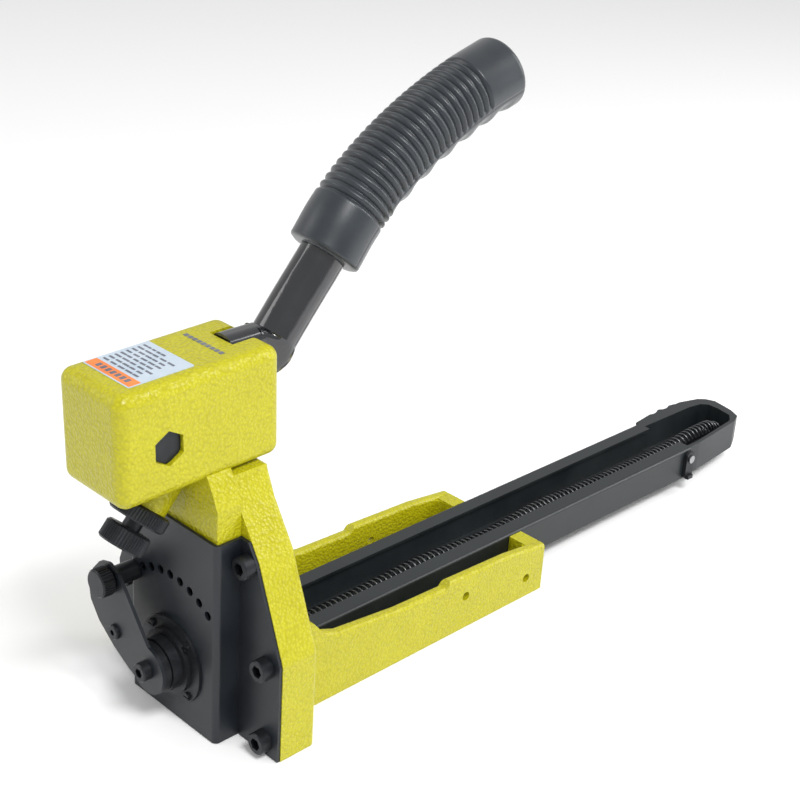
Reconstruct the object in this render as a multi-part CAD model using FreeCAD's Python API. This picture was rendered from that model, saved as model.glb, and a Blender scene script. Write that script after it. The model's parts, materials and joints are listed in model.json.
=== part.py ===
import FreeCAD, Part
import math
import os

# Hand-lever carton-closing stapler. Units are millimetres.
# X = 0 is the plane of symmetry, Y = 0 the joint face between frame and cover,
# Z = 0 the sole. The magazine runs back along +Y.

V = FreeCAD.Vector

# ---- driving dimensions -------------------------------------------------
# frame casting
FRAME_DEPTH = 19.2
FRAME_OUTLINE = [
    (56.1, 0.0), (56.1, 47.7), (39.6, 89.8), (34.5, 97.7),
    (27.3, 108.8), (22.4, 119.7), (21.9, 122.0),
]
ARM_OUTER_X = 36.0
ARM_THICKNESS = 5.5
ARM_END_Y = 190.0
ARM_TOP = [
    (15.0, 44.0), (34.7, 44.0), (41.0, 36.5), (50.5, 32.9), (88.0, 28.9), (119.7, 27.9),
    (122.0, 30.3), (163.0, 28.8), (ARM_END_Y, 25.7),
]
ARM_HOLES = [(133.1, 18.0), (177.7, 10.5)]
ARM_HOLE_R = 2.25
END_WALL_Y = 181.5
END_WALL_INNER_X = 19.7
POCKET_DEPTH = 6.4
BLADE_GROOVE_DEPTH = 2.6
NECK_SLOT_HALF = 8.0
NECK_SLOT_Z = 92.0

# front cover
SHEET = 1.5
COVER_FRONT_Y = -14.0
COVER_HALF = 29.75
COVER_TOP_Z = 97.3
COVER_SCREWS = [(34.9, 87.1), (47.3, 43.8), (47.3, 7.2)]
M6_HEAD_R = 5.0
M6_HEAD_H = 5.3
INDEX_RADIUS = 41.6
INDEX_FIRST_DEG = 54.3
INDEX_STEP_DEG = 9.3
INDEX_COUNT = 9
INDEX_HOLE_R = 2.05

# depth lever and hub
HUB_Z = 28.7
HUB_SHAFT_R = 8.0
LEVER_BACK_Y = -25.9
LEVER_PLATE_T = 1.6
LEVER_DEG = INDEX_FIRST_DEG + INDEX_STEP_DEG * (INDEX_COUNT - 1)
CAM_R = 11.0
CAM_OFFSET = 3.0
RUNNING = 0.05

# head housing
CAP_HALF = 20.6
CAP_Y0, CAP_Y1 = -52.3, 27.0
CAP_Z0, CAP_Z1 = 122.4, 171.4
CAP_ROUND = 5.4
CAP_PITCH = 1.4
CAP_SLOT_HALF = 7.45
CAP_SLOT_Y = 11.0
NECK_FRONT_Y = -12.2

# handle
PIVOT_Y, PIVOT_Z = -30.0, 143.4
PIVOT_BOLT_R = 4.0
BOLT_FACE_X = 18.3
HEX_R = 13.0 / math.sqrt(3.0)
HEX_PHASE = -28.5
DRIVE_RADIUS = 29.0
DRIVE_DEG = 25.0
DRIVE_PIN_R = 3.0
TUBE_R = 10.3
TUBE_WALL = 2.0
FLAT_HALF = 6.5
BEND_STEPS = 12
BEND_SIDES = 36
FLAT_Z0, FLAT_Z1 = 150.0, 173.4
TUBE_PATH = [
    (39.2, 165.9), (44.8, 172.7), (52.6, 182.0), (65.8, 197.6), (74.5, 208.7), (85.8, 219.8),
    (100.5, 230.9), (116.2, 240.4), (131.5, 247.9), (146.3, 253.9), (164.0, 259.6),
]
GRIP_R = 16.35
GRIP_RIBS = 25

# tilted stop screw: a point on the axis and the direction, in the plane X = 0
STOP_Y, STOP_Z = -37.3, 97.3
STOP_DIR = (0.656, 0.755)
STUD_R = 4.0

# magazine
MAG_HALF = 19.4
MAG_Z0, MAG_Z1 = 7.5, 26.5
MAG_FRONT_Y = 3.4
MAG_LIP_END_Y = 337.0
MAG_SLOT_HALF = 10.6
RAIL_HALF = 14.5
RAIL_TOP_Z = 23.3
SPRING_R = 4.4
SPRING_Z = 15.4
BLOCK_OUTLINE = [
    (18.5, 337.0), (18.5, 346.0), (14.6, 386.5), (11.6, 393.4), (5.0, 396.8),
    (-1.3, 398.3), (-9.0, 399.8), (-14.2, 397.6), (-17.6, 393.6), (-21.4, 381.5),
    (-23.6, 366.0), (-21.9, 348.0), (-20.6, 337.0),
]

# drive inside the frame
BLADE_HALF = 17.5
BLADE_Y0, BLADE_Y1 = 0.3, 2.3
BLADE_Z0, BLADE_Z1 = 25.5, 57.5
BLADE_SCREW_Z = 54.8
CROSSBAR_Z0, CROSSBAR_Z1 = 52.2, 64.0
SPRING_X, SPRING_Y = 21.0, -7.3
CLINCH_X, CLINCH_Z = 23.5, 21.5
CLINCH_PIN_R = 2.5
CLINCH_R = 24.0
CLINCH_TIP_DEG = -56.0
CLINCH_SPOKE_DEG = -38.0
CLINCH_TAIL_DEG = 40.0
CLINCH_TAIL_R = 19.0


# ---- helpers ------------------------------------------------------------
def box(x0, x1, y0, y1, z0, z1):
    return Part.makeBox(x1 - x0, y1 - y0, z1 - z0, V(x0, y0, z0))


def rod(start, end, radius):
    """Cylinder between two points."""
    axis = V(*end) - V(*start)
    return Part.makeCylinder(radius, axis.Length, V(*start), axis)


def cyl_x(y, z, radius, x0, x1):
    return rod((x0, y, z), (x1, y, z), radius)


def cyl_y(x, z, radius, y0, y1):
    return rod((x, y0, z), (x, y1, z), radius)


def cyl_z(x, y, radius, z0, z1):
    return rod((x, y, z0), (x, y, z1), radius)


def prism(points, direction):
    """Extrudes a closed outline of 3-D points."""
    corners = [V(*p) for p in points]
    face = Part.Face(Part.makePolygon(corners + corners[:1]))
    return face.extrude(V(*direction))


def prism_yz(points, x0, x1):
    return prism([(x0, y, z) for y, z in points], (x1 - x0, 0, 0))


def prism_xz(points, y0, y1):
    return prism([(x, y0, z) for x, z in points], (0, y1 - y0, 0))


def prism_xy(points, z0, z1):
    return prism([(x, y, z0) for x, y in points], (0, 0, z1 - z0))


def mirrored(points):
    """Closed outline from its right half, mirrored in the first coordinate."""
    return points + [(-x, z) for x, z in reversed(points)]


def both_sides(shape):
    """The shape and its mirror image in X = 0."""
    return [shape, shape.mirror(V(0, 0, 0), V(1, 0, 0))]


def fuse(shapes):
    solid = shapes[0]
    for other in shapes[1:]:
        solid = solid.fuse(other)
    return solid.removeSplitter()


def cut(solid, tools):
    for tool in tools:
        solid = solid.cut(tool)
    return solid


def round_edges(solid, radius, wanted):
    """Fillets the edges whose midpoint and direction pass the test."""
    chosen = []
    for edge in solid.Edges:
        first, last = edge.Vertexes[0].Point, edge.Vertexes[-1].Point
        middle = (first + last) * 0.5
        if wanted(middle, last - first):
            chosen.append(edge)
    return solid.makeFillet(radius, chosen)


def hexagon(circumradius, phase):
    angles = [math.radians(phase + 60.0 * k) for k in range(6)]
    return [(circumradius * math.cos(a), circumradius * math.sin(a)) for a in angles]


def knurled(radius, height, depth, teeth):
    """Knurled disc on +Z from the origin, with a chamfer at both ends."""
    outline = []
    for k in range(2 * teeth):
        angle = math.pi * k / teeth
        reach = radius if k % 2 else radius - depth
        outline.append((reach * math.cos(angle), reach * math.sin(angle)))
    disc = prism_xy(outline, 0.0, height)
    edge = depth + 0.5
    low = Part.makeCone(radius - edge, radius + 0.2, edge + 0.2, V(0, 0, 0), V(0, 0, 1))
    middle = Part.makeCylinder(radius + 0.2, height - 2 * (edge + 0.2), V(0, 0, edge + 0.2))
    high = Part.makeCone(
        radius + 0.2, radius - edge, edge + 0.2, V(0, 0, height - edge - 0.2), V(0, 0, 1)
    )
    return disc.common(fuse([low, middle, high]))


def socket_screw(head_r, head_h, shank_r, shank_len, hex_af):
    """Socket head cap screw on the Z axis: head above Z = 0, shank below."""
    head = Part.makeCylinder(head_r, head_h)
    head = head.makeChamfer(0.5, [e for e in head.Edges if e.BoundBox.ZMin > head_h - 0.1])
    shank = Part.makeCylinder(shank_r, shank_len, V(0, 0, -shank_len))
    screw = fuse([head, shank])
    socket = prism_xy(hexagon(hex_af / math.sqrt(3.0), 0.0), head_h * 0.4, head_h + 1.0)
    return screw.cut(socket)


def placed(shape, point, axis):
    """Moves a shape made on +Z so that its Z axis lies along axis at point."""
    moved = shape.copy()
    turn = FreeCAD.Rotation(V(0, 0, 1), V(*axis))
    moved.Placement = FreeCAD.Placement(V(*point), turn)
    return moved


def coil(radius, wire_r, length, turns, bottom):
    """Round-wire compression spring on the Z axis."""
    pitch = (length - 2 * wire_r) / turns
    helix = Part.makeHelix(pitch, pitch * turns, radius)
    start = V(radius, 0, 0)
    ring = Part.Wire(Part.makeCircle(wire_r, start, V(0, 1, 0)))
    spring = Part.Wire(helix).makePipeShell([ring], True, True)
    spring.translate(V(0, 0, bottom + wire_r))
    return spring


def save(node, shapes):
    shape = shapes if isinstance(shapes, Part.Shape) else Part.makeCompound(shapes)
    shape.exportStep(f"parts/{node}.step")


# ---- frame casting ------------------------------------------------------
def clincher_pocket():
    """Hollow for the right-hand clincher and the end of the crossbar."""
    outline = [
        (0.0, 65.0), (39.0, 65.0), (43.4, 58.0), (43.4, 3.2), (41.5, -1.0), (20.0, -1.0),
        (20.0, 14.0), (17.8, 15.4), (17.8, 26.9), (0.0, 26.9),
    ]
    return prism_xz(outline, -1.0, POCKET_DEPTH)


def frame_arm():
    """Right-hand arm with its end wall."""
    inner = ARM_OUTER_X - ARM_THICKNESS
    side = [(15.0, 0.0)] + ARM_TOP + [(ARM_END_Y, 0.0)]
    arm = prism_yz(side, inner, ARM_OUTER_X)
    arm = round_edges(
        arm, 2.0,
        lambda m, d: m.z > 20 and m.y > 45 and abs(d.x) < 0.1 and d.Length > 5,
    )
    wall = box(END_WALL_INNER_X, inner + 1.0, END_WALL_Y, ARM_END_Y, 0.0, 25.7)
    arm = fuse([arm, wall])
    corner = cyl_z(inner - 4.0, END_WALL_Y - 4.0, 4.0, 0.0, 25.0)
    fillet = box(inner - 4.0, inner + 0.5, END_WALL_Y - 4.0, END_WALL_Y + 0.5, 0.0, 25.0)
    arm = fuse([arm, fillet.cut(corner)])
    holes = [cyl_x(y, z, ARM_HOLE_R, inner - 2, ARM_OUTER_X + 1) for y, z in ARM_HOLES]
    return cut(arm, holes)


def frame_casting():
    plate = prism_xz(mirrored(FRAME_OUTLINE), 0.0, FRAME_DEPTH)
    plate = round_edges(plate, 2.4, lambda m, d: m.y > FRAME_DEPTH - 0.1 and m.z > 1)
    plate = round_edges(
        plate, 3.0, lambda m, d: abs(d.y) > 5 and 40 < m.z < 120 and abs(m.x) > 20
    )
    gusset = prism_xy([(30.5, 18.0), (30.5, 28.0), (24.5, 19.2), (24.5, 18.0)], 0.0, 27.0)
    casting = fuse([plate] + both_sides(frame_arm()) + both_sides(gusset))
    hollows = both_sides(clincher_pocket())
    hollows.append(box(-17.8, 17.8, -1, BLADE_GROOVE_DEPTH, -1, 30))
    hollows.append(box(-MAG_HALF - 0.2, MAG_HALF + 0.2, 2.0, 25, MAG_Z0 - 0.2, MAG_Z1 + 0.2))
    hollows.append(box(-27.7, 27.7, -1, FRAME_DEPTH + 1, -1, 3.0))
    hollows.append(box(-8, 8, -1, POCKET_DEPTH, 60, NECK_SLOT_Z + 1))
    hollows.append(
        box(-NECK_SLOT_HALF, NECK_SLOT_HALF, -1, FRAME_DEPTH + 1, NECK_SLOT_Z, 130)
    )
    for x, z in mirrored(COVER_SCREWS):
        hollows.append(cyl_y(x, z, 3.0, -1, 13))
    for x, z in mirrored([(CLINCH_X, CLINCH_Z)]):
        hollows.append(cyl_y(x, z, CLINCH_PIN_R, 5, 15))
    for x, z in HOUSING_SCREWS:
        hollows.append(cyl_y(x, z, 3.0, -1, 25))
        hollows.append(cyl_y(x, z, 5.2, 13.2, 25))
    for x in (-23.0, 23.0):
        hollows.append(cyl_z(x, 13.0, 2.0, -1, 9))
    return cut(casting, hollows)


# ---- cover --------------------------------------------------------------
def index_hole_centres():
    centres = []
    for k in range(INDEX_COUNT):
        angle = math.radians(INDEX_FIRST_DEG + INDEX_STEP_DEG * k)
        centres.append((INDEX_RADIUS * math.cos(angle), HUB_Z + INDEX_RADIUS * math.sin(angle)))
    return centres


def front_cover():
    top = COVER_TOP_Z
    outer = box(-COVER_HALF, COVER_HALF, COVER_FRONT_Y, 0, 0, top)
    outer = round_edges(
        outer, 2.6, lambda m, d: m.y < COVER_FRONT_Y + 0.1 and abs(d.z) > 20
    )
    inner_half = COVER_HALF - SHEET
    inner = box(-inner_half, inner_half, COVER_FRONT_Y + SHEET, 5, -1, top + 1)
    inner = round_edges(inner, 1.1, lambda m, d: m.y < -10 and abs(d.z) > 20)
    flange = [(COVER_HALF - 1, 0.0), (55.7, 0.0), (55.7, 47.6), (39.3, 89.6), (34.3, top)]
    flange.append((COVER_HALF - 1, top))
    cover = fuse([outer] + both_sides(prism_xz(flange, -SHEET, 0.0))).cut(inner)
    holes = [cyl_y(x, z, INDEX_HOLE_R, -20, -5) for x, z in index_hole_centres()]
    holes.append(cyl_y(0, HUB_Z, HUB_SHAFT_R + 0.6, -20, -5))
    for x, z in mirrored(COVER_SCREWS):
        holes.append(cyl_y(x, z, 3.2, -5, 5))
    for x, z in hub_screw_centres():
        holes.append(cyl_y(x, z, 1.25, -20, -5))
    return cut(cover, holes)


def cover_screws():
    screw = socket_screw(M6_HEAD_R, M6_HEAD_H, 3.0, 13.0, 5.0)
    return [placed(screw, (x, -SHEET, z), (0, -1, 0)) for x, z in mirrored(COVER_SCREWS)]


# ---- head housing -------------------------------------------------------
HOUSING_SCREWS = [(-15.5, 112.0), (15.5, 112.0), (-19.0, 94.0), (19.0, 94.0)]


def stop_point(distance):
    """Point on the stop screw's axis, measured up from the knurled head's centre."""
    return (0.0, STOP_Y + STOP_DIR[0] * distance, STOP_Z + STOP_DIR[1] * distance)


def handle_cavity():
    """Room for the handle arm as it swings down through 50 degrees."""
    outline = [
        (-43.6, 130.8), (-43.6, 160.0), (-20.0, 165.3), (CAP_SLOT_Y, 167.9), (CAP_SLOT_Y, 175.0),
        (30.0, 175.0), (30.0, 90.0), (3.0, 90.0), (3.0, 111.0), (-33.0, 130.8),
    ]
    return prism_yz(outline, -CAP_SLOT_HALF, CAP_SLOT_HALF)


def pitched(shape):
    """Lean the housing top forward a little, about the joint with the frame neck."""
    shape.rotate(V(0, 0, 124.7), V(1, 0, 0), CAP_PITCH)
    return shape


def head_housing():
    cap = box(-CAP_HALF, CAP_HALF, CAP_Y0, CAP_Y1, CAP_Z0, CAP_Z1)
    cap = pitched(cap.makeFillet(CAP_ROUND, cap.Edges))
    neck = mirrored([(27.9, 86.0), (27.9, 112.0), (22.7, 122.5), (20.8, 125.4), (15.0, 133.0)])
    block = prism_xz(neck, NECK_FRONT_Y, 0.0)
    block = block.cut(box(16.9, 40, NECK_FRONT_Y - 1, 1, 125.4, 140))
    block = block.cut(box(-40, -16.9, NECK_FRONT_Y - 1, 1, 125.4, 140))
    boss = rod(stop_point(15.0), stop_point(42.0), 9.6)
    housing = fuse([cap, block, boss])
    tools = [handle_cavity()]
    tools.append(box(-CAP_SLOT_HALF, CAP_SLOT_HALF, -10.6, 1.0, 80, 135))
    tools.append(rod(stop_point(10.0), stop_point(30.0), STUD_R + RUNNING))
    tools.append(rod(stop_point(29.0), stop_point(42.0), 5.2))
    tools.append(cyl_x(PIVOT_Y, PIVOT_Z, PIVOT_BOLT_R, -30, 30))
    hexagon_yz = [(PIVOT_Y + y, PIVOT_Z + z) for y, z in hexagon(HEX_R + 0.15, HEX_PHASE)]
    tools.append(prism_yz(hexagon_yz, BOLT_FACE_X - 5.0, 30))
    tools.append(prism_yz(hexagon_yz, -30, -BOLT_FACE_X + 6.0))
    for x, z in HOUSING_SCREWS:
        tools.append(cyl_y(x, z, 3.0, -9.0, 1.0))
    return cut(housing, tools)


def housing_screws():
    screw = socket_screw(5.0, 5.0, 3.0, 21.0, 5.0)
    return [placed(screw, (x, 13.2, z), (0, 1, 0)) for x, z in HOUSING_SCREWS]


def label_plate():
    return pitched(box(-16.2, 13.9, -42.8, -11.6, CAP_Z1, CAP_Z1 + 0.3))


def pivot_bolt():
    outline = [(PIVOT_Y + y, PIVOT_Z + z) for y, z in hexagon(HEX_R, HEX_PHASE)]
    head = prism_yz(outline, BOLT_FACE_X - 5.0, BOLT_FACE_X + 0.5)
    chamfer = Part.makeCone(
        HEX_R + 3.2, HEX_R - 0.6, 3.8, V(BOLT_FACE_X - 3.3, PIVOT_Y, PIVOT_Z), V(1, 0, 0)
    )
    body = cyl_x(PIVOT_Y, PIVOT_Z, HEX_R + 3.2, BOLT_FACE_X - 6.0, BOLT_FACE_X - 3.3)
    head = head.common(fuse([chamfer, body]))
    return fuse([head, cyl_x(PIVOT_Y, PIVOT_Z, PIVOT_BOLT_R, -BOLT_FACE_X + 0.4, BOLT_FACE_X - 4)])


def pivot_nut():
    outline = [(PIVOT_Y + y, PIVOT_Z + z) for y, z in hexagon(HEX_R, HEX_PHASE)]
    nut = prism_yz(outline, -BOLT_FACE_X + 0.2, -BOLT_FACE_X + 6.0)
    return nut.cut(cyl_x(PIVOT_Y, PIVOT_Z, PIVOT_BOLT_R, -30, 0))


# ---- handle -------------------------------------------------------------
def section(centre, across, half_width, half_height, squareness):
    """Closed many-sided wire, from round (squareness 2) to a rounded rectangle (about 5)."""
    points = []
    for k in range(BEND_SIDES):
        angle = 2 * math.pi * k / BEND_SIDES
        c, s = math.cos(angle), math.sin(angle)
        x = math.copysign(abs(c) ** (2 / squareness), c) * half_width
        h = math.copysign(abs(s) ** (2 / squareness), s) * half_height
        points.append(V(*centre) + V(x, 0, 0) + V(*across) * h)
    return Part.makePolygon(points + points[:1])


def tube_axis():
    curve = Part.BSplineCurve()
    curve.interpolate([V(0, y, z) for y, z in TUBE_PATH])
    return curve


def tube_sweep(radius):
    curve = tube_axis()
    start = curve.value(curve.FirstParameter)
    tangent = curve.tangent(curve.FirstParameter)[0]
    ring = Part.Wire(Part.makeCircle(radius, start, tangent))
    return Part.Wire(curve.toShape()).makePipeShell([ring], True, False)


def handle_tube():
    curve = tube_axis()
    start = curve.value(curve.FirstParameter)
    tangent = curve.tangent(curve.FirstParameter)[0]
    middle_z = 0.5 * (FLAT_Z0 + FLAT_Z1)
    flat_end = V(0, 27.6, middle_z)
    corner = V(0, 38.4, middle_z - 1.7)
    sections = []
    for k in range(BEND_STEPS + 1):
        t = k / BEND_STEPS
        centre = flat_end * (1 - t) ** 2 + corner * (2 * t * (1 - t)) + start * t ** 2
        tilt = t * math.atan2(tangent.z, tangent.y)
        across = (0, -math.sin(tilt), math.cos(tilt))
        blend = t * t * (3 - 2 * t)
        half_width = FLAT_HALF + (TUBE_R - FLAT_HALF) * blend
        half_height = 0.5 * (FLAT_Z1 - FLAT_Z0) * (1 - blend) + TUBE_R * blend
        sections.append(section(tuple(centre), across, half_width, half_height, 4.5 - 2.5 * blend))
    bend = Part.makeLoft(sections, True, True)
    arm_side = [
        (-30.0, 132.4), (-26.6, 132.9), (12.0, 148.2), (20.0, FLAT_Z0), (29.4, FLAT_Z0),
        (29.4, FLAT_Z1), (11.7, FLAT_Z1), (11.7, 167.0), (9.0, 166.8), (-6.0, 165.0),
        (-33.6, 153.8), (-37.0, 150.0),
    ]
    arm = prism_yz(arm_side, -FLAT_HALF, FLAT_HALF)
    arm = fuse([arm, cyl_x(PIVOT_Y, PIVOT_Z, 11.0, -FLAT_HALF, FLAT_HALF)])
    envelope = box(-FLAT_HALF, FLAT_HALF, -60, 60, 100, FLAT_Z1)
    envelope = round_edges(envelope, 5.2, lambda m, d: m.z > FLAT_Z1 - 1 and abs(d.y) > 50)
    arm = arm.common(envelope)
    fork = prism_yz(
        [(-45, 120), (20.0, 120), (20.0, 170.0), (9.8, 170.0), (9.8, 180), (-45, 180)],
        -3.9, 3.9,
    )
    pin_y, pin_z = drive_pin_centre()
    tube = tube_sweep(TUBE_R).cut(tube_sweep(TUBE_R - TUBE_WALL))
    handle = tube.fuse(bend).fuse(arm)
    tools = [fork, cyl_x(PIVOT_Y, PIVOT_Z, 6.0, -20, 20)]
    tools.append(cyl_x(pin_y, pin_z, DRIVE_PIN_R, -20, 20))
    return cut(handle, tools)


def drive_pin_centre():
    angle = math.radians(DRIVE_DEG)
    return PIVOT_Y + DRIVE_RADIUS * math.cos(angle), PIVOT_Z + DRIVE_RADIUS * math.sin(angle)


def drive_pin():
    y, z = drive_pin_centre()
    return cyl_x(y, z, DRIVE_PIN_R, -FLAT_HALF, FLAT_HALF)


def pivot_bush():
    half = CAP_SLOT_HALF - 0.3
    bush = cyl_x(PIVOT_Y, PIVOT_Z, 6.0, -half, half)
    return bush.cut(cyl_x(PIVOT_Y, PIVOT_Z, PIVOT_BOLT_R + RUNNING, -20, 20))


def handle_grip():
    """Ribbed rubber sleeve: a ruled loft through rings of changing radius."""
    curve = tube_axis()
    first = curve.parameter(V(0, 64.5, 196.2))
    last = curve.LastParameter
    profile = [(0.0, 14.6), (0.012, GRIP_R - 0.2), (0.15, GRIP_R - 0.2), (0.165, 14.9)]
    rib_start, rib_end = 0.18, 0.89
    pitch = (rib_end - rib_start) / GRIP_RIBS
    for k in range(GRIP_RIBS):
        at = rib_start + pitch * k
        profile += [(at, 15.0), (at + 0.25 * pitch, GRIP_R)]
        profile += [(at + 0.65 * pitch, GRIP_R), (at + 0.9 * pitch, 15.0)]
    profile += [(0.895, 15.0), (0.905, GRIP_R), (1.0, GRIP_R)]
    rings = []
    for share, radius in profile:
        at = first + (last - first) * share
        tangent = curve.tangent(at)[0]
        rings.append(Part.Wire(Part.makeCircle(radius, curve.value(at), tangent)))
    for beyond, radius in [(1.5, 15.8), (3.0, 14.2), (3.8, 12.0)]:
        centre = curve.value(last) + tangent * beyond
        rings.append(Part.Wire(Part.makeCircle(radius, centre, tangent)))
    sleeve = Part.makeLoft(rings, True, True)
    return sleeve.cut(tube_sweep(TUBE_R))


# ---- stop screw and lock nut -------------------------------------------
STOP_AXIS = (0.0,) + STOP_DIR


def stop_screw():
    head = placed(knurled(10.0, 8.5, 0.4, 48), stop_point(-4.25), STOP_AXIS)
    return fuse([head, rod(stop_point(4.0), stop_point(29.7), STUD_R)])


def stop_pad():
    return rod(stop_point(29.7), stop_point(31.8), 4.6)


def lock_nut():
    nut = placed(knurled(12.5, 6.6, 0.4, 60), stop_point(8.1), STOP_AXIS)
    return nut.cut(rod(stop_point(5), stop_point(20), STUD_R + RUNNING))


# ---- hub and depth lever ------------------------------------------------
def hub_screw_centres():
    centres = []
    for k in range(4):
        angle = math.radians(45 + 90 * k)
        centres.append((17.6 * math.cos(angle), HUB_Z + 17.6 * math.sin(angle)))
    return centres


def hub_bearing():
    steps = [(20.3, -14.0, -15.3), (15.0, -15.3, -17.5), (12.3, -17.5, -22.4)]
    bearing = fuse([cyl_y(0, HUB_Z, r, y0, y1) for r, y0, y1 in steps])
    tools = [cyl_y(0, HUB_Z, HUB_SHAFT_R + RUNNING, -30, 0)]
    tools += [cyl_y(x, z, 1.25, -20, -10) for x, z in hub_screw_centres()]
    return cut(bearing, tools)


def hub_screws():
    screw = fuse([cyl_z(0, 0, 1.9, 0, 1.1), cyl_z(0, 0, 1.25, -3.0, 0.1)])
    screw = screw.cut(box(-3, 3, -0.3, 0.3, 0.5, 2))
    return [placed(screw, (x, -15.3, z), (0, -1, 0)) for x, z in hub_screw_centres()]


def hub_shaft():
    parts = [
        cyl_y(0, HUB_Z, 11.4, LEVER_BACK_Y, -22.7),
        cyl_y(0, HUB_Z, HUB_SHAFT_R, -23.0, -12.2),
        cyl_y(0, HUB_Z, 6.0, -12.3, -3.6),
    ]
    return fuse(parts).cut(cyl_y(0, HUB_Z, 2.5, -30, -17))


def depth_cam():
    cam = cyl_y(CAM_OFFSET, HUB_Z, CAM_R, -11.8, -4.6)
    return cam.cut(cyl_y(0, HUB_Z, 6.0, -20, 0))


def knob_centre():
    angle = math.radians(LEVER_DEG)
    return INDEX_RADIUS * math.cos(angle), HUB_Z + INDEX_RADIUS * math.sin(angle)


def lever_plate():
    """Sector-shaped plate: a round eye at the hub and a broad arc at the knob end."""
    outline = [
        (9.3, 31.6), (6.4, 36.6), (0.4, 40.6), (-5.4, 47.8), (-13.2, 58.0), (-19.6, 66.4),
        (-26.2, 69.0), (-32.8, 67.0), (-38.0, 61.0), (-41.5, 52.5), (-40.5, 44.5),
        (-34.5, 36.2), (-23.6, 28.2), (-13.0, 22.6), (-6.6, 20.2), (-2.0, 19.0), (6.0, 21.0),
    ]
    front = LEVER_BACK_Y - LEVER_PLATE_T
    plate = prism_xz(outline, front, LEVER_BACK_Y)
    plate = round_edges(plate, 3.0, lambda m, d: abs(d.y) > 1 and m.x < -10)
    plate = fuse([plate, cyl_y(0, HUB_Z, 11.4, front, LEVER_BACK_Y)])
    x, z = knob_centre()
    tools = [cyl_y(0, HUB_Z, 2.6, -40, 0), cyl_y(x, z, 2.2, -40, 0)]
    tools.append(cyl_y(-22.2, 36.6, 2.0, -40, 0))
    return cut(plate, tools)


def lever_screw():
    screw = socket_screw(4.25, 4.2, 2.5, 8.0, 4.0)
    return placed(screw, (0, LEVER_BACK_Y - LEVER_PLATE_T, HUB_Z), (0, -1, 0))


def lever_set_screw():
    screw = socket_screw(3.4, 1.8, 2.0, 5.0, 2.5)
    return placed(screw, (-22.2, LEVER_BACK_Y - LEVER_PLATE_T, 36.6), (0, -1, 0))


def plunger_sleeve():
    x, z = knob_centre()
    sleeve = cyl_y(x, z, 4.6, LEVER_BACK_Y, -14.6)
    return cut(sleeve, [cyl_y(x, z, 3.4, -30, -17.0), cyl_y(x, z, 1.95, -30, 0)])


def plunger_knob():
    x, z = knob_centre()
    knob = placed(knurled(6.6, 6.6, 0.35, 32), (x, -27.9, z), (0, -1, 0))
    return knob.cut(cyl_y(x, z, 1.9, -32.0, 0))


def plunger_pin():
    x, z = knob_centre()
    collar = cyl_y(x, z, 3.2, -18.4, -17.3)
    return fuse([cyl_y(x, z, 1.9, -32.0, -14.5), collar])


def plunger_spring():
    x, z = knob_centre()
    spring = coil(2.7, 0.3, 7.2, 6, 0.0)
    return placed(spring, (x, -18.7, z), (0, -1, 0))


# ---- magazine -----------------------------------------------------------
def magazine_channel():
    """Folded channel with lips; the lips stop short of the rear end."""
    outer = box(-MAG_HALF, MAG_HALF, MAG_FRONT_Y, MAG_LIP_END_Y, MAG_Z0, MAG_Z1)
    outer = round_edges(outer, 1.6, lambda m, d: abs(d.y) > 50)
    inner = box(
        -MAG_HALF + SHEET, MAG_HALF - SHEET, 0, 340, MAG_Z0 + SHEET, MAG_Z1 - SHEET
    )
    slot = box(-MAG_SLOT_HALF, MAG_SLOT_HALF, 0, 340, 20, 30)
    channel = cut(outer, [inner, slot])
    pin_hole = cyl_x(334.0, 21.0, 1.5, 10, 30)
    return channel.cut(pin_hole)


def core_rail():
    """Open-topped U that carries the staples astride and the spring inside."""
    outer = box(-RAIL_HALF, RAIL_HALF, MAG_FRONT_Y, MAG_LIP_END_Y, 9.0, RAIL_TOP_Z)
    inner = box(-RAIL_HALF + SHEET, RAIL_HALF - SHEET, 0, 340, 9.0 + SHEET, 30)
    return outer.cut(inner)


def end_block():
    """Open-topped tail tray, wider and scalloped on the left side."""
    block = prism_xy(BLOCK_OUTLINE, 8.8, MAG_Z1)
    well = [
        (16.4, 330.0), (16.4, 346.0), (12.4, 384.5), (8.0, 390.5), (-2.0, 392.5),
        (-8.5, 392.5), (-12.0, 389.0), (-13.6, 380.0), (-14.4, 330.0),
    ]
    tools = [prism_xy(well, 10.8, 40)]
    tools.append(prism_yz([(387, 8), (405, 8), (405, 16.5)], -40, 40))
    for y in (345.0, 356.0, 367.0, 378.0):
        tools.append(cyl_z(-28.6, y, 7.0, 5, 40))
    tools.append(cyl_z(-26.0, 391.0, 7.0, 5, 40))
    for x in (-10.0, 10.0):
        tools.append(cyl_z(x, 345.0, 1.5, 5, 12))
        tools.append(Part.makeCone(3.0, 1.5, 1.4, V(x, 345.0, 10.8), V(0, 0, -1)))
    return cut(block, tools)


def end_block_screws():
    head = Part.makeCone(2.9, 1.5, 1.3, V(0, 0, 0), V(0, 0, -1))
    screw = fuse([head, cyl_z(0, 0, 1.5, -1.9, -1.2)])
    screw = screw.cut(box(-4, 4, -0.3, 0.3, -0.6, 1))
    return [placed(screw, (x, 345.0, 10.75), (0, 0, 1)) for x in (-10.0, 10.0)]


def spring_tongue():
    """Grey strip beside the spring that keeps it from climbing out."""
    strip = box(6.2, 10.2, 304.0, 334.0, 19.6, 20.8)
    foot = box(6.2, 10.2, 304.0, 305.4, 10.5, 20.0)
    return fuse([strip, foot])


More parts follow.
